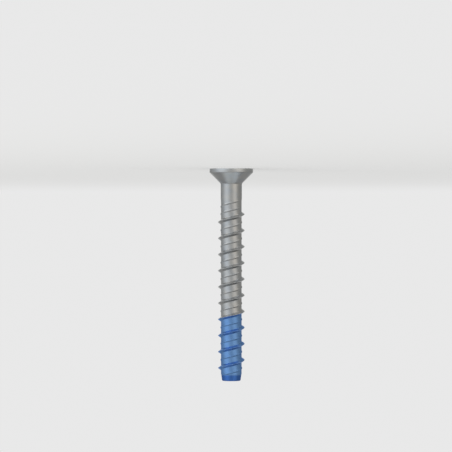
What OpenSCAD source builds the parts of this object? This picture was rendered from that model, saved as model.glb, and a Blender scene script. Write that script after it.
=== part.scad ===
// Countersunk concrete screw: a high main thread with a low thread midway between its turns,
// a smooth neck, a six-lobe recess in the head and a blue coat on the working end.
// It stands on the flat top of its head. The origin is the centre of that face,
// and +Z runs along the axis to the flat end. Sizes are in millimetres.

/* [Overall] */
// Length from the flat top of the head to the flat end
length = 60; // [45:1:90]

/* [Head] */
// Diameter of the head
head_d = 12.3; // [11.4:0.1:14]
// Height of the straight rim round the head
rim_h = 1.1; // [0.8:0.1:1.6]
// Rounding between the flat top and the rim
rim_round = 0.2; // [0.1:0.05:0.4]
// Included angle of the cone under the rim
cone_angle = 90; // [80:1:100]

/* [Drive recess] */
// Width of the six-lobe recess across two opposite lobes
recess_d = 6.65; // [6.4:0.05:7]
// Width of the recess across two opposite ribs
rib_gap = 4.85; // [4.7:0.05:5]
// Radius of a lobe
lobe_r = 0.66; // [0.56:0.02:0.7]
// Depth of the recess's straight wall
recess_depth = 2.8; // [2:0.1:3]
// Width of the shallow cone in the recess's floor
recess_cone_d = 4.2; // [3:0.1:4.6]
// Depth of that cone
recess_cone = 0.6; // [0.3:0.1:0.8]

/* [Shank] */
// Diameter of the core between the threads
core_d = 5.85; // [5.6:0.05:6.1]
// How much wider the smooth neck is than the core
neck_extra = 0.15; // [0.1:0.05:0.5]
// Distance from the flat top to where the line of the main thread's crest begins
thread_from = 8.3; // [7:0.1:12]

/* [Thread] */
// Outside diameter of the main thread
thread_d = 7.5; // [7.1:0.1:8]
// Distance that both threads advance in one turn
lead = 4.58; // [3.8:0.02:5.4]
// Width of the main thread at its root
main_root_w = 1.15; // [0.9:0.05:1.5]
// Width of the main thread's crest
main_crest_w = 0.1; // [0.05:0.05:0.3]
// Turns over which the main thread rises to its full height
run_in = 1; // [0.6:0.1:1.4]
// Turns over which the main thread falls away near the end
run_out = 0.3; // [0.2:0.05:0.6]
// Distance from the start of the taper back to where the main thread begins to fall away
run_out_from = 1.8; // [1.4:0.1:4]
// Height of the low thread
low_h = 0.15; // [0.1:0.05:0.3]
// Width of the low thread at its root
low_root_w = 0.7; // [0.5:0.05:0.9]

/* [Tapered end] */
// Length of the taper
taper_len = 1.75; // [1:0.25:3]
// How much narrower than the core the taper starts
taper_step = 0.15; // [0.1:0.05:0.3]
// Diameter of the flat end
end_d = 5.25; // [4.6:0.05:5.3]
// Bevel round the flat end
end_bevel = 0.15; // [0.05:0.05:0.3]

/* [Coat] */
// Length of the coated end
coat_len = 18.5; // [10:0.5:30]

/* [Hidden] */
$fn = 72;

steel_colour = "#a9acaf";
coat_colour = "#5b8ecb";

// Columns of the thread's surface in one turn, and the side on which the thread begins
columns = 40;
begin_angle = 180;
// How far one solid runs inside the next where they join
joint_overlap = 0.4;
// Turns over which a low ridge rises from the core
low_rise = 0.2;
// Steps in each rounded stretch of an outline
arc_steps = 6;

core_r = core_d / 2;
neck_r = core_r + neck_extra / 2;
main_h = (thread_d - core_d) / 2;
cone_end = rim_h + (head_d / 2 - neck_r) / tan(cone_angle / 2);
neck_end = thread_from + low_root_w / 2;
taper_from = length - taper_len;
coat_from = length - coat_len;
fall_from = (taper_from - run_out_from - thread_from) / lead;

// A rib is the arc that meets both lobes beside it without a corner
lobe_at = recess_d / 2 - lobe_r;
rib_at_square = lobe_at * lobe_at + rib_gap * rib_gap / 4 - lobe_at * rib_gap * cos(30);
rib_r = (rib_at_square - lobe_r * lobe_r) / (2 * lobe_r - rib_gap + 2 * lobe_at * cos(30));
rib_at = rib_gap / 2 + rib_r;
lobe_turn = atan2(rib_at * sin(30), rib_at * cos(30) - lobe_at);

function polar(r, a) = [r * cos(a), r * sin(a)];

// Smooth rise from 0 to 1 while x goes from 0 to 1
function ease(x) = let (u = max(0, min(1, x))) u * u * (3 - 2 * u);

// Height of each thread, t turns after it begins
function low_height(t) = low_h * ease(t / low_rise);
function main_height(t) =
    max(low_height(t), main_h * ease(2 * t / run_in - 1)) * (1 - ease((t - fall_from) / run_out));

// Half the main thread's width at its root, which narrows as the thread gets lower
function main_half(t) =
    let (share = max(0, main_height(t) - low_h) / (main_h - low_h))
    (low_root_w + (main_root_w - low_root_w) * share) / 2;

// Profile of one lead, t turns after the thread begins: [radius, height] from root to root.
// Where the main thread is still low, it keeps to the full thread's root on the side of the end
function profile(t) =
    let (
        half = main_half(t),
        crest = thread_from + lead * t + main_root_w / 2 - half,
        low_crest = thread_from + lead * (t + 0.5),
        main_r = core_r + main_height(t)
    )
    [
        [core_r, crest - half],
        [main_r, crest - main_crest_w / 2],
        [main_r, crest + main_crest_w / 2],
        [core_r, crest + half],
        [core_r, low_crest - low_root_w / 2],
        [core_r + low_height(t), low_crest],
        [core_r, low_crest + low_root_w / 2]
    ];

rows = len(profile(0));

// Threaded core from one column to another. A row past the last one is on the next turn,
// and each end follows the thread's root for one turn and then drops back to where it began.
module threaded_core(from, to) {
    points = [
        for (c = [from : to + columns])
            for (p = profile(c / columns))
                concat(polar(p[0], begin_angle + 360 * c / columns), p[1])
    ];
    function at(row, c) = row % rows + rows * (c - from + columns * floor(row / rows));
    function edge(c) = concat(
        [for (k = [c : c + columns]) at(0, k)],
        [for (row = [rows - 1 : -1 : 0]) at(row, c)]
    );
    function edge_centre(c) = [0, 0, thread_from + lead * (c / columns + 0.5)];
    low_edge = edge(from);
    high_edge = edge(to);
    low_centre = len(points);
    high_centre = len(points) + 1;
    polyhedron(
        points = concat(points, [edge_centre(from), edge_centre(to)]),
        faces = concat(
            [for (row = [0 : rows - 1], c = [from : to - 1])
                [at(row, c), at(row + 1, c), at(row + 1, c + 1), at(row, c + 1)]],
            [for (k = [1 : len(low_edge) - 1]) [low_centre, low_edge[k - 1], low_edge[k]]],
            [for (k = [1 : len(high_edge) - 1]) [high_centre, high_edge[k], high_edge[k - 1]]]
        ),
        convexity = 8
    );
}

// Stretch of thread between two heights, cut off flat at both
module thread_between(low, high) {
    first_turn = floor((low - thread_from) / lead) - 1;
    last_turn = ceil((high + main_root_w - thread_from) / lead);
    intersection() {
        threaded_core(columns * first_turn, columns * last_turn);
        translate([0, 0, low])
            cylinder(d = 2 * thread_d, h = high - low);
    }
}

module head_and_neck() {
    rounding = [
        for (k = [0 : arc_steps])
            [head_d / 2 - rim_round, rim_round] + polar(rim_round, 90 * k / arc_steps - 90)
    ];
    rotate_extrude()
        polygon(concat(
            [[0, 0]],
            rounding,
            [[head_d / 2, rim_h], [neck_r, cone_end], [neck_r, neck_end], [0, neck_end]]
        ));
}

// Outline of the recess: six lobes with a rib between each two
module recess_outline() {
    polygon([
        for (k = [0 : 5])
            let (
                lobe = polar(lobe_at, 60 * k),
                rib = polar(rib_at, 60 * k + 30)
            )
            each concat(
                [for (s = [0 : arc_steps])
                    lobe + polar(lobe_r, 60 * k + lobe_turn * (2 * s / arc_steps - 1))],
                [for (s = [1 : arc_steps - 1])
                    rib + polar(rib_r, 60 * k + lobe_turn + 180 - s * (2 * lobe_turn - 60) / arc_steps)]
            )
    ]);
}

module drive_recess() {
    translate([0, 0, -joint_overlap])
        linear_extrude(recess_depth + joint_overlap)
            recess_outline();
    rotate_extrude()
        polygon([
            [0, recess_depth - joint_overlap],
            [recess_cone_d / 2, recess_depth - joint_overlap],
            [recess_cone_d / 2, recess_depth],
            [0, recess_depth + recess_cone]
        ]);
}

module tapered_end() {
    start_r = core_r - taper_step / 2;
    rotate_extrude()
        polygon([
            [0, taper_from - joint_overlap],
            [start_r, taper_from - joint_overlap],
            [start_r, taper_from],
            [end_d / 2, length - end_bevel],
            [end_d / 2 - end_bevel, length],
            [0, length]
        ]);
}

module concrete_screw() {
    color(steel_colour) {
        difference() {
            head_and_neck();
            drive_recess();
        }
        thread_between(neck_end - joint_overlap, coat_from);
    }
    color(coat_colour) {
        thread_between(coat_from, taper_from);
        tapered_end();
    }
}

concrete_screw();
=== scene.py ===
import math

import bmesh
import bpy
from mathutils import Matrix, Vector


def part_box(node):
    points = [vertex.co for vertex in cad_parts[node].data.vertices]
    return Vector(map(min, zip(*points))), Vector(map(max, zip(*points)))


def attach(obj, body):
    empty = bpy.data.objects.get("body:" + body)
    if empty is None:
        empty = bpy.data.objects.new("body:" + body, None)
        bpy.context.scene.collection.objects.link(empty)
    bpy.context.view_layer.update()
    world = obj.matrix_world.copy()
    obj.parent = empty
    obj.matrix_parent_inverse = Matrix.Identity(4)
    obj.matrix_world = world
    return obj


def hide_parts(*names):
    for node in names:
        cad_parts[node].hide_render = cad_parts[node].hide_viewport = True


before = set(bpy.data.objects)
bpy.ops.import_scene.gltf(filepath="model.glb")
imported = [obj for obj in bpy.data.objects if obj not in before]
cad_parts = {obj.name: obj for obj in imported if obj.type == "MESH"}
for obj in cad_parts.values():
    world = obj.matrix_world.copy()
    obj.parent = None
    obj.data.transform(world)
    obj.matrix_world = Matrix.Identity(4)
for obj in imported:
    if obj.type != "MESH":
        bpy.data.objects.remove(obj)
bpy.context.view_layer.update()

# Concrete screw, standing on the flat top of its head. Its sizes are in millimetres, and the mesh
# is made from them at this many metres a millimetre
MM = 0.001

# Overall sizes, from the frame
lowest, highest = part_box("concrete_screw")
head_r = (highest.x - lowest.x) / 2 / MM
length = (highest.z - lowest.z) / MM

# Core, and the smooth neck, which stands a little proud of the core and goes over into it along
# the blend
core_r = 2.925
neck_proud = 0.075
neck_r = core_r + neck_proud
neck_blend_from = 8.0
neck_blend = 1.6

# Head: a straight rim, a cone that narrows at 45 degrees to the neck, and the flat ring inside the
# top's edge
rim_h = 1.1
cone_end = rim_h + head_r - neck_r
top_ring = 1.0
rim_round = 0.2
rim_cone_round = 0.15
neck_round = 0.35

# Six-lobe recess, with a shallow cone in its floor and a flat ring round the cone and round the mouth
recess_d = 6.65
rib_gap = 4.85
lobe_r = 0.66
recess_depth = 2.8
recess_cone_r = 2.1
recess_cone = 0.6
recess_cone_tip_r = 0.3
recess_cone_ring = 0.05
recess_mouth_ring = 0.3
recess_cone_round = 0.1
recess_floor_round = 0.08
recess_mouth_round = 0.12

# Tapered end, which begins with a small step down from the core
taper_len = 1.75
taper_step = 0.075
taper_from = length - taper_len
taper_r = core_r - taper_step
end_r = 2.625
end_middle_r = 0.8
end_bevel = 0.15
end_round = 0.05

# Main thread and low thread: height, and half the width at the root and at the crest
main_h = 0.825
main_r = core_r + main_h
main_half = 0.575
main_crest_half = 0.025
low_h = 0.15
low_half = 0.35
low_crest_half = 0.06

# Course of the threads: where they begin, the advance in a turn, the turns over which they rise
# and fall, and how far before the taper the main thread begins to fall
thread_from = 8.3
begin_angle = math.pi
lead = 4.58
main_rise = 1.0
low_rise = 0.2
main_fall = 0.3
fall_before_taper = 1.8
main_fall_from = (taper_from - fall_before_taper - thread_from) / lead
# Shares of a ridge's flank over which its root and its crest are rounded, so small that the crest's
# two roundings don't meet
root_round = 0.08
crest_round = 0.04

# Coat: its edge climbs to the main thread's crest this many turns after the thread begins, and
# follows it. Corners of the mesh this near to the edge count as on it
coat_turn = 7
coat_climb_from = 0.03
coat_climb = 0.08
coat_touch = 0.004

# Zinc plating: the distance between its rolled rings, the width of its clouds and of its grain, and
# the depth of its relief. Rings and grain are really about 0.05 mm and 0.02 mm, and are drawn coarser
# so that they show. Loose screws rub it on this much of the main thread's outside, and round the edge
# of the flat top from the first distance on and fully from the second
ring_gap = 0.3
zinc_cloud = 2.5
zinc_grain = 0.12
zinc_relief = 0.006
rubbed_crest = 0.06
rubbed_rim = (1.0, 0.2)

# Blue lacquer: the width of its clouds, and the width and depth of its orange peel. It is thin on this
# much of the main thread's outside. A darker blue is painted on as the taper's shade, from before the
# taper's start to past it
lacquer_cloud = 1.8
peel_width = 0.35
peel_depth = 0.004
thin_crest = 0.2
taper_shade_before = 0.1
taper_shade_past = 0.3

# Columns of the mesh round the axis, a multiple of twelve, so that each lobe and each rib of the
# recess has one on its middle
columns = 180
angles = [begin_angle + 2 * math.pi * c / columns for c in range(columns)]
# Stations up a flank of each thread, from the root to past the crest
main_steps = (-root_round, 0.0, root_round, 0.5, 1 - crest_round, 1 - crest_round / 2,
              1 + crest_round / 2, 1 + crest_round)
low_steps = (-root_round, root_round, 0.5, 1 - crest_round, 1.0, 1 + crest_round)
# The climbing rows begin some turns before the thread and end just before the step down to the
# taper. Rows close beside the step keep it crisp
first_turn = -2
step_margin = 0.05
step_from = taper_from - taper_step
thread_to = step_from - step_margin
# Steps of the curve at a rounded corner, and a narrow rim beside it that keeps the flats flat when
# they are shaded
corner_steps = 5
corner_rim = 0.04


def linear(colour):
    """An sRGB hex colour as linear red, green, blue and alpha."""
    parts = [int(colour[k : k + 2], 16) / 255 for k in (1, 3, 5)]
    return [c / 12.92 if c <= 0.04045 else ((c + 0.055) / 1.055) ** 2.4 for c in parts] + [1.0]


def add(tree, kind, inputs=(), stops=(), **settings):
    """A node with its settings, and each input filled with a value or linked to another node's output.
    A ramp also takes its stops, as positions with colours."""
    made = tree.nodes.new(kind)
    for name, value in settings.items():
        setattr(made, name, value)
    for name, value in dict(inputs).items():
        if isinstance(value, bpy.types.NodeSocket):
            tree.links.new(value, made.inputs[name])
        else:
            made.inputs[name].default_value = value
    for k, (position, colour) in enumerate(stops):
        elements = made.color_ramp.elements
        stop = elements[k] if k < len(elements) else elements.new(position)
        stop.position = position
        stop.color = colour
    return made


def new_material(name):
    material = bpy.data.materials.new(name)
    material.use_nodes = True
    material.node_tree.nodes.clear()
    return material, material.node_tree


def places_on_screw(tree):
    """The place that is shaded, its distance from the screw's axis, and its height."""
    place = add(tree, "ShaderNodeTexCoord").outputs["Object"]
    level = add(tree, "ShaderNodeVectorMath", {0: place, 1: (1, 1, 0)},
                operation="MULTIPLY").outputs[0]
    radius = add(tree, "ShaderNodeVectorMath", {0: level}, operation="LENGTH").outputs["Value"]
    height = add(tree, "ShaderNodeSeparateXYZ", {0: place}).outputs["Z"]
    return place, radius, height


def zinc_plated_steel():
    """Rolled steel plated with zinc in a barrel: a satin grey metal with faint rings round the axis,
    a little brighter and smoother on the crests and the head's edge, where loose screws rub."""
    material, tree = new_material("zinc_plated_steel")
    place, radius, height = places_on_screw(tree)
    # Rings from rolling. Part of the radius is added to the height, so that the flat top has them too
    along = add(tree, "ShaderNodeMath", {0: radius, 1: 0.6, 2: height},
                operation="MULTIPLY_ADD").outputs[0]
    rings = add(tree, "ShaderNodeTexNoise", {"W": along, "Scale": 1 / (ring_gap * MM), "Detail": 3.0},
                noise_dimensions="1D").outputs["Fac"]
    # Clouds where the zinc lies a little thicker, and the grain of the plating
    clouds = add(tree, "ShaderNodeTexNoise", {"Vector": place, "Scale": 1 / (zinc_cloud * MM),
                                              "Detail": 4.0, "Roughness": 0.6}).outputs["Fac"]
    grain = add(tree, "ShaderNodeTexNoise", {"Vector": place, "Scale": 1 / (zinc_grain * MM),
                                             "Detail": 2.0}).outputs["Fac"]
    # Rubbed places on the main thread and round the flat top
    crest = add(tree, "ShaderNodeMapRange", {"Value": radius, "From Min": (main_r - rubbed_crest) * MM,
                                             "From Max": main_r * MM}).outputs[0]
    shank = add(tree, "ShaderNodeMath", {0: height, 1: cone_end * MM},
                operation="GREATER_THAN").outputs[0]
    crest = add(tree, "ShaderNodeMath", {0: crest, 1: shank}, operation="MULTIPLY").outputs[0]
    section = add(tree, "ShaderNodeCombineXYZ", {"X": radius, "Y": height}).outputs[0]
    from_edge = add(tree, "ShaderNodeVectorMath", {0: section, 1: (head_r * MM, 0, 0)},
                    operation="DISTANCE").outputs["Value"]
    rim = add(tree, "ShaderNodeMapRange", {"Value": from_edge, "From Min": rubbed_rim[0] * MM,
                                           "From Max": rubbed_rim[1] * MM}).outputs[0]
    rubbed = add(tree, "ShaderNodeMath", {0: crest, 1: rim}, operation="MAXIMUM").outputs[0]
    # Its clear passivation leaves the zinc a trace bluish here and straw-coloured there
    plated = add(tree, "ShaderNodeValToRGB", {"Fac": clouds},
                 [(0.3, linear("#abafb3")), (0.7, linear("#b9b8b5"))]).outputs["Color"]
    colour = add(tree, "ShaderNodeMix", {"Factor": rubbed, "A": plated, "B": linear("#bdbfc0")},
                 data_type="RGBA").outputs["Result"]
    marks = add(tree, "ShaderNodeMath", {0: rings, 1: 0.5, 2: clouds},
                operation="MULTIPLY_ADD").outputs[0]
    satin = add(tree, "ShaderNodeMapRange", {"Value": marks, "From Min": 0.4, "From Max": 1.1,
                                             "To Min": 0.25, "To Max": 0.35}).outputs[0]
    rough = add(tree, "ShaderNodeMath", {0: rubbed, 1: -0.05, 2: satin},
                operation="MULTIPLY_ADD").outputs[0]
    relief = add(tree, "ShaderNodeMath", {0: grain, 1: 0.35, 2: rings},
                 operation="MULTIPLY_ADD").outputs[0]
    bump = add(tree, "ShaderNodeBump", {"Height": relief, "Strength": 0.5, "Distance": zinc_relief * MM})
    surface = add(tree, "ShaderNodeBsdfPrincipled", {"Base Color": colour, "Roughness": rough,
                                                     "Metallic": 1.0, "Normal": bump.outputs["Normal"]})
    add(tree, "ShaderNodeOutputMaterial", {"Surface": surface.outputs["BSDF"]})
    return material


def blue_lacquer_on_zinc():
    """Clear blue lacquer dipped over the zinc: a satin blue metal, a little deeper where the lacquer ran
    thicker, and darker on the taper, where its shade is painted on.
    Its edges stay blue too, because light that grazes them has a longer way through the lacquer."""
    material, tree = new_material("blue_lacquer_on_zinc")
    place, radius, height = places_on_screw(tree)
    # Clouds where the lacquer ran thicker, and the orange peel that it dried with
    clouds = add(tree, "ShaderNodeTexNoise", {"Vector": place, "Scale": 1 / (lacquer_cloud * MM),
                                              "Detail": 3.0}).outputs["Fac"]
    peel = add(tree, "ShaderNodeTexNoise", {"Vector": place, "Scale": 1 / (peel_width * MM),
                                            "Detail": 1.0}).outputs["Fac"]
    # The lacquer is thin on the main thread's crest, and a darker blue is painted on the taper as its
    # shade
    thin = add(tree, "ShaderNodeMapRange", {"Value": radius, "From Min": (main_r - thin_crest) * MM,
                                            "From Max": main_r * MM}).outputs[0]
    painted_taper_shade = add(tree, "ShaderNodeMapRange", {"Value": height,
                                               "From Min": (taper_from - taper_shade_before) * MM,
                                               "From Max": (taper_from + taper_shade_past) * MM}).outputs[0]
    body = add(tree, "ShaderNodeValToRGB", {"Fac": clouds},
               [(0.3, linear("#6590c6")), (0.7, linear("#6b96cb"))]).outputs["Color"]
    # Painted shade: the taper and the step before it get a darker blue
    colour = add(tree, "ShaderNodeMix", {"Factor": painted_taper_shade, "A": body, "B": linear("#3765ad")},
                 data_type="RGBA").outputs["Result"]
    colour = add(tree, "ShaderNodeMix", {"Factor": thin, "A": colour, "B": linear("#7098d0")},
                 data_type="RGBA").outputs["Result"]
    rough = add(tree, "ShaderNodeMapRange", {"Value": clouds, "From Min": 0.3, "From Max": 0.7,
                                             "To Min": 0.26, "To Max": 0.34}).outputs[0]
    bump = add(tree, "ShaderNodeBump", {"Height": peel, "Strength": 0.4, "Distance": peel_depth * MM})
    surface = add(tree, "ShaderNodeBsdfPrincipled", {"Base Color": colour, "Roughness": rough,
                                                     "Metallic": 0.85,
                                                     "Specular Tint": linear("#a8c6f6"),
                                                     "Coat Weight": 0.3, "Coat Roughness": 0.3,
                                                     "Normal": bump.outputs["Normal"]})
    add(tree, "ShaderNodeOutputMaterial", {"Surface": surface.outputs["BSDF"]})
    return material


def ease(x):
    """Smooth rise from 0 to 1 while x goes from 0 to 1."""
    u = max(0.0, min(1.0, x))
    return u * u * (3 - 2 * u)


def flank(u):
    """Height up a ridge's flank, 0 at the root and 1 at the crest, rounded at both."""
    if u < root_round:
        return max(0.0, u + root_round) ** 2 / (4 * root_round)
    if u > 1 - crest_round:
        return 1 - max(0.0, 1 + crest_round - u) ** 2 / (4 * crest_round)
    return u


def low_height(t):
    """Height of the low thread, t turns after it begins."""
    return low_h * ease(t / low_rise)


def main_height(t):
    """Height of the main thread, t turns after it begins."""
    risen = max(low_height(t), main_h * ease(2 * t / main_rise - 1))
    return risen * (1 - ease((t - main_fall_from) / main_fall))


def main_root(t):
    """Half the main thread's width at its root, which narrows as the thread gets lower."""
    share = max(0.0, main_height(t) - low_h) / (main_h - low_h)
    return low_half + (main_half - low_half) * share


def main_crest(t):
    """Place of the main thread's crest. A low stretch keeps to the full one's upper root."""
    return thread_from + lead * t + main_half - main_root(t)


def shank_radius(turn, z):
    """Radius of the threaded shank, at a share of a turn past the thread's beginning and a height."""
    passed = (z - thread_from) / lead - turn
    t = round(passed) + turn
    root = main_root(t)
    away = abs(z - main_crest(t))
    main = main_height(t) * flank((root - away) / (root - main_crest_half))
    t = round(passed - 0.5) + turn
    away = abs(z - thread_from - lead * (t + 0.5))
    low = low_height(t) * flank((low_half - away) / (low_half - low_crest_half))
    core = neck_r + (core_r - neck_r) * ease((z - neck_blend_from) / neck_blend)
    return core + main + low


def ridge_stations(crest, root, crest_half, steps):
    """Heights of the mesh's rows over one ridge, from its root on the head's side to the other root."""
    reach = [root - u * (root - crest_half) for u in steps]
    return [crest - x for x in reach] + [crest] + [crest + x for x in reversed(reach)]


def main_stations(t):
    return ridge_stations(main_crest(t), main_root(t), main_crest_half, main_steps)


def lead_stations(t):
    """Heights of the mesh's rows over one lead, t turns after the thread begins."""
    main = main_stations(t)
    low = ridge_stations(thread_from + lead * (t + 0.5), low_half, low_crest_half, low_steps)
    return main + [(main[-1] + low[0]) / 2] + low + [(low[-1] + main_stations(t + 1)[0]) / 2]


def recess_radius(angle):
    """Radius of the six-lobe outline: lobes and ribs are arcs that run into each other."""
    sixth = math.radians(60)
    lobe_at = recess_d / 2 - lobe_r
    across = lobe_at * math.cos(sixth / 2)
    rib_r = lobe_at**2 + rib_gap**2 / 4 - across * rib_gap - lobe_r**2
    rib_r /= 2 * lobe_r - rib_gap + 2 * across
    rib_at = rib_gap / 2 + rib_r
    turn = math.atan2(rib_at * math.sin(sixth / 2), rib_at * math.cos(sixth / 2) - lobe_at)
    meets = math.atan2(lobe_r * math.sin(turn), lobe_at + lobe_r * math.cos(turn))
    a = abs((angle + sixth / 2) % sixth - sixth / 2)
    if a <= meets:
        return lobe_at * math.cos(a) + math.sqrt(lobe_r**2 - (lobe_at * math.sin(a)) ** 2)
    a = sixth / 2 - a
    return rib_at * math.cos(a) - math.sqrt(rib_r**2 - (rib_at * math.sin(a)) ** 2)


def rounded(outline, steps=corner_steps):
    """An outline of (radius, height, rounding) points, as points with a curve at each corner."""
    points = [Vector(outline[0][:2])]
    for before, corner, after in zip(outline, outline[1:], outline[2:]):
        middle = Vector(corner[:2])
        back = (Vector(before[:2]) - middle).normalized()
        on = (Vector(after[:2]) - middle).normalized()
        reach = corner[2]
        points.append(middle + back * (reach + corner_rim))
        for k in range(steps + 1):
            s = k / steps
            points.append(middle + back * reach * (1 - s) ** 2 + on * reach * s**2)
        points.append(middle + on * (reach + corner_rim))
    return points + [Vector(outline[-1][:2])]


def coat_edge(turn):
    """Height of the coat's edge. It follows the crest on one half and falls back on the other."""
    crest = thread_from + lead * (coat_turn + turn)
    if turn < 0.5:
        return crest + main_half * (1 - ease((turn - coat_climb_from) / coat_climb))
    # A cubic that leaves the crest and meets the next turn's start, with the lead's slope at both
    s = 2 * turn - 1
    middle = thread_from + lead * (coat_turn + 0.5)
    start = thread_from + lead * coat_turn + main_half
    slope = lead / 2 * (2 * s**3 - 3 * s**2 + s)
    return middle + (start - middle) * ease(s) + slope


def screw_mesh():
    """One closed mesh from the recess's floor, over the head and along the threads, to the flat end."""
    verts, faces = [], []

    def point(r, a, z):
        verts.append((r * math.cos(a), r * math.sin(a), z))
        return len(verts) - 1

    def ring(radius, z):
        made = [point(radius(a), a, z) for a in angles]
        return made + made[:1]

    def pole(z):
        return [point(0.0, 0.0, z)] * (columns + 1)

    def join(one, other):
        """Faces between two rows. Where they share points, a face has three corners or is left out."""
        for corners in zip(one, one[1:], other[1:], other):
            loop = [v for k, v in enumerate(corners) if v != corners[k - 1]]
            if len(loop) > 2:
                faces.append(loop)

    # Recess: the shallow cone, the wall and the broken edge at its mouth
    tip_depth = recess_depth + recess_cone * (1 - recess_cone_tip_r / recess_cone_r)
    cone_line = rounded([(recess_cone_tip_r, tip_depth, 0),
                         (recess_cone_r, recess_depth, recess_cone_round),
                         (recess_cone_r + recess_cone_round + recess_cone_ring, recess_depth, 0)], 2)
    wall_line = rounded([(-2 * recess_floor_round, recess_depth, 0),
                         (0, recess_depth, recess_floor_round),
                         (0, 0, recess_mouth_round),
                         (recess_mouth_ring, 0, 0)])
    rows = [pole(recess_depth + recess_cone)]
    rows += [ring(lambda a: p.x, p.y) for p in cone_line]
    rows += [ring(lambda a: recess_radius(a) + p.x, p.y) for p in wall_line]

    # Flat top, rim, cone and neck
    head_line = rounded([(head_r - top_ring, 0, 0),
                         (head_r, 0, rim_round),
                         (head_r, rim_h, rim_cone_round),
                         (neck_r, cone_end, neck_round),
                         (neck_r, neck_blend_from, 0)])
    rows += [ring(lambda a: p.x, p.y) for p in head_line]
    for low, high in zip(rows, rows[1:]):
        join(low, high)

    # Threads: rows that climb with the lead, each column cut off where the neck and the taper meet them
    low_ring = rows[-1]
    high_ring = ring(lambda a: shank_radius((a - begin_angle) / (2 * math.pi), thread_to), thread_to)
    last_turn = math.ceil((taper_from - thread_from) / lead) + 1
    climbing = []
    for j, a in enumerate(angles):
        column = []
        for k in range(first_turn, last_turn + 1):
            for z in lead_stations(k + j / columns):
                if z <= neck_blend_from:
                    column.append(low_ring[j])
                elif z >= thread_to:
                    column.append(high_ring[j])
                else:
                    column.append(point(shank_radius(j / columns, z), a, z))
        climbing.append(column)
    in_lead = len(lead_stations(0))
    climbing.append(climbing[0][in_lead:] + [high_ring[0]] * in_lead)
    for here, there in zip(climbing, climbing[1:]):
        join(there, here)

    # Step, taper and flat end
    step_ring = ring(lambda a: shank_radius((a - begin_angle) / (2 * math.pi), step_from), step_from)
    end_line = rounded([(taper_r, taper_from + step_margin, 0),
                        (end_r, length - end_bevel, end_round),
                        (end_r - end_bevel, length, end_round),
                        (end_middle_r, length, 0)])
    rows = [high_ring, step_ring, ring(lambda a: taper_r, taper_from)]
    rows += [ring(lambda a: p.x, p.y) for p in end_line] + [pole(length)]
    for low, high in zip(rows, rows[1:]):
        join(low, high)

    mesh = bpy.data.meshes.new("concrete_screw_surface")
    mesh.from_pydata([(x * MM, y * MM, z * MM) for x, y, z in verts], [], faces)
    return mesh


def past_edge(place):
    """How far a place on the mesh lies past the coat's edge, in millimetres."""
    turn = ((math.atan2(place.y, place.x) - begin_angle) / (2 * math.pi)) % 1.0
    return place.z / MM - coat_edge(turn)


def score_coat_edge(mesh):
    """Cut the mesh along the coat's edge and give the faces past it the second material."""
    work = bmesh.new()
    work.from_mesh(mesh)
    past = {v: past_edge(v.co) for v in work.verts}
    on_edge = [v for v in work.verts if abs(past[v]) < coat_touch]
    for edge in list(work.edges):
        a, b = edge.verts
        if past[a] * past[b] < 0 and min(abs(past[a]), abs(past[b])) >= coat_touch:
            on_edge.append(bmesh.utils.edge_split(edge, a, past[a] / (past[a] - past[b]))[1])
    bmesh.ops.connect_verts(work, verts=on_edge)
    for face in work.faces:
        face.smooth = True
        face.material_index = int(past_edge(face.calc_center_median()) > 0)
    work.to_mesh(mesh)
    work.free()


def concrete_screw():
    mesh = screw_mesh()
    mesh.materials.append(zinc_plated_steel())
    mesh.materials.append(blue_lacquer_on_zinc())
    score_coat_edge(mesh)
    screw = bpy.data.objects.new("screw_with_coated_end", mesh)
    bpy.context.collection.objects.link(screw)
    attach(screw, "root")
    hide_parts("concrete_screw")


# Camera: the photograph's scale, and where the screw's axis and the top of its head lie in its frame
image_size = 452
mm_per_pixel = 0.283
axis_pixel = 231.3
head_top_pixel = 168.65
view_distance = 0.7
sensor = 36

# Studio, in metres: the sky's colour and brightness, the floor's reach and the distances between
# which it goes over into the sky's colour, and the lamp
sky_colour = linear("#fafafa")
sky = 0.85
floor_reach = 3.0
fade_from = 0.05
fade_to = 0.5
lamp_place = (0.35, -0.45, 0.5)
lamp_size = 0.5
lamp_power = 1.0

# Light tent that only the screw's gloss sees. Its walls go round from the camera: degrees with the
# screw's +X side positive, brightness and tint. A cool panel stands on that side, a warm one on the
# other and a plain one behind, with dimmer cloth between
tent_r = 0.6
sheet_r = 0.57
tent_middle = 0.03
tent_walls = [
    (-180, 1.00, "#f6f6f4"),
    (-150, 0.40, "#f6f6f4"),
    (-85, 0.46, "#f6f5f0"),
    (-40, 1.10, "#f8f3ec"),
    (0, 0.67, "#f6f6f4"),
    (52, 1.22, "#eef3f8"),
    (110, 0.60, "#f2f5f6"),
    (145, 0.41, "#f4f6f6"),
    (180, 1.00, "#f6f6f4"),
]
# Sheets hung inside the walls, with the degrees that they span round and up from the horizon, their
# brightness and their tint. Each thread's upper flank shows the two bands as a dark line
tent_step = 5
tent_sheets = {
    "panel_overhead": ((-180, 180), (65, 90), 0.86, "#f4fbff"),
    "dim_band": ((-40, 265), (35, 65), 0.4, "#fafafa"),
    "dark_band": ((-95, -40), (35, 65), 0.15, "#fafafa"),
}
# A bright strip below, narrow on the screw's -X side: its corners along X and Y, its drop from the
# tent's middle, its brightness and its tint. The main thread's lower flank shows it by way of the
# core, and looks about as bright as the core
strip_corners = [(0.35, -0.06), (0.35, 0.14), (-0.3, 0.0), (-0.3, -0.03), (0.0, -0.11)]
strip_drop = 0.25
strip_level = 1.8
strip_tint = "#fafafa"


def camera():
    """Level camera along +Y, turned over so that the head is at the top."""
    data = bpy.data.cameras.new("view")
    data.sensor_width = sensor
    data.lens = sensor * view_distance / (image_size * mm_per_pixel * MM)
    eye = bpy.data.objects.new("view", data)
    side = (axis_pixel - image_size / 2) * mm_per_pixel * MM
    height = (image_size / 2 - head_top_pixel) * mm_per_pixel * MM
    eye.location = (side, -view_distance, height)
    eye.rotation_euler = (math.radians(90), math.radians(180), 0)
    bpy.context.collection.objects.link(eye)
    bpy.context.scene.camera = eye


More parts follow.
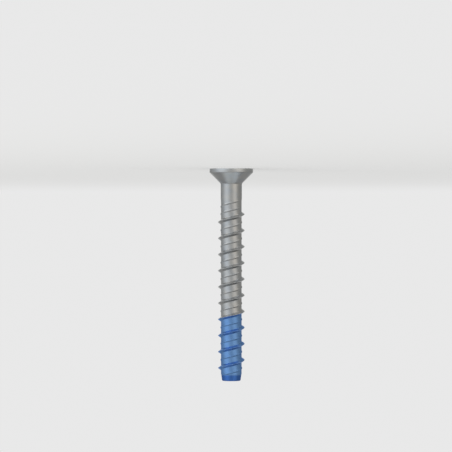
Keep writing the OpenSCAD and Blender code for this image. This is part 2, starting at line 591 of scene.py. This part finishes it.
def floor():
    """Pale floor that goes over into the colour of the sky far from the screw."""
    mesh = bpy.data.meshes.new("floor")
    corners = [(x * floor_reach, y * floor_reach, 0) for x, y in ((-1, -1), (1, -1), (1, 1), (-1, 1))]
    mesh.from_pydata(corners, [], [(0, 1, 2, 3)])
    material, tree = new_material("pale_paper")
    place = add(tree, "ShaderNodeTexCoord").outputs["Object"]
    away = add(tree, "ShaderNodeVectorMath", {0: place}, operation="LENGTH").outputs["Value"]
    far = add(tree, "ShaderNodeMapRange", {"Value": away, "From Min": fade_from, "From Max": fade_to},
              interpolation_type="SMOOTHSTEP").outputs[0]
    paper = add(tree, "ShaderNodeBsdfPrincipled", {"Base Color": linear("#e8e8e7"), "Roughness": 0.9,
                                                   "Specular IOR Level": 0.0}).outputs["BSDF"]
    sky_light = add(tree, "ShaderNodeEmission", {"Color": sky_colour,
                                                 "Strength": sky}).outputs["Emission"]
    both = add(tree, "ShaderNodeMixShader", {0: far, 1: paper, 2: sky_light}).outputs["Shader"]
    add(tree, "ShaderNodeOutputMaterial", {"Surface": both})
    mesh.materials.append(material)
    ground = bpy.data.objects.new("floor", mesh)
    bpy.context.collection.objects.link(ground)
    ground.visible_glossy = False


def even_glow(name, level, tint):
    """Material of a lit sheet, which gives even light."""
    material, tree = new_material(name)
    light = add(tree, "ShaderNodeEmission", {"Color": linear(tint), "Strength": level})
    add(tree, "ShaderNodeOutputMaterial", {"Surface": light.outputs["Emission"]})
    return material


def hang(name, points, faces, material):
    """A piece of the tent, which shows in the screw's gloss and nowhere else."""
    mesh = bpy.data.meshes.new(name)
    mesh.from_pydata(points, [], faces)
    mesh.materials.append(material)
    piece = bpy.data.objects.new(name, mesh)
    piece.location = (0, 0, tent_middle)
    bpy.context.collection.objects.link(piece)
    piece.visible_camera = False
    piece.visible_diffuse = False
    piece.visible_shadow = False
    piece.visible_transmission = False


def bowl(radius, bearings, rises):
    """Points and faces of part of a sphere, between two bearings and two heights in degrees."""
    turns = [math.radians(bearing) for bearing in range(bearings[0], bearings[1] + 1, tent_step)]
    points = []
    for rise in range(rises[0], rises[1] + 1, tent_step):
        out = radius * math.cos(math.radians(rise))
        up = radius * math.sin(math.radians(rise))
        points += [(out * math.sin(turn), -out * math.cos(turn), up) for turn in turns]
    wide = len(turns)
    firsts = [k for k in range(len(points) - wide) if k % wide < wide - 1]
    return points, [(k, k + 1, k + 1 + wide, k + wide) for k in firsts]


def light_tent():
    """Walls that change round the screw, and plain sheets and a strip inside them."""
    material, tree = new_material("tent_cloth")
    place = add(tree, "ShaderNodeTexCoord").outputs["Object"]
    parts = add(tree, "ShaderNodeSeparateXYZ", {0: place}).outputs
    front = add(tree, "ShaderNodeMath", {0: parts["Y"], 1: -1.0}, operation="MULTIPLY").outputs[0]
    bearing = add(tree, "ShaderNodeMath", {0: parts["X"], 1: front}, operation="ARCTAN2").outputs[0]
    share = add(tree, "ShaderNodeMapRange", {"Value": bearing, "From Min": -math.pi,
                                             "From Max": math.pi}).outputs[0]
    panels = [((degrees + 180) / 360, [level * c for c in linear(tint)[:3]] + [1])
              for degrees, level, tint in tent_walls]
    cloth = add(tree, "ShaderNodeValToRGB", {"Fac": share}, panels)
    cloth.color_ramp.interpolation = "EASE"
    light = add(tree, "ShaderNodeEmission", {"Color": cloth.outputs["Color"]}).outputs["Emission"]
    add(tree, "ShaderNodeOutputMaterial", {"Surface": light})
    hang("tent_walls", *bowl(tent_r, (-180, 180), (-90, 90)), material)
    for name, (bearings, rises, level, tint) in tent_sheets.items():
        hang(name, *bowl(sheet_r, bearings, rises), even_glow(name, level, tint))
    corners = [(x, y, -strip_drop) for x, y in strip_corners]
    hang("strip_below", corners, [tuple(range(len(corners)))],
         even_glow("strip_below", strip_level, strip_tint))


def lamps():
    """Sky and one large soft lamp, which give the floor its light and the screw its shadow."""
    world = bpy.data.worlds.new("sky")
    world.use_nodes = True
    background = world.node_tree.nodes["Background"]
    background.inputs["Color"].default_value = sky_colour
    background.inputs["Strength"].default_value = sky
    bpy.context.scene.world = world
    data = bpy.data.lights.new("soft_lamp", "AREA")
    data.size = lamp_size
    data.energy = lamp_power
    lamp = bpy.data.objects.new("soft_lamp", data)
    lamp.location = lamp_place
    lamp.rotation_euler = (-lamp.location).to_track_quat("-Z", "Y").to_euler()
    bpy.context.collection.objects.link(lamp)
    lamp.visible_glossy = False
    lamp.visible_camera = False


concrete_screw()
camera()
floor()
light_tent()
lamps()
bpy.context.scene.view_settings.view_transform = "Standard"
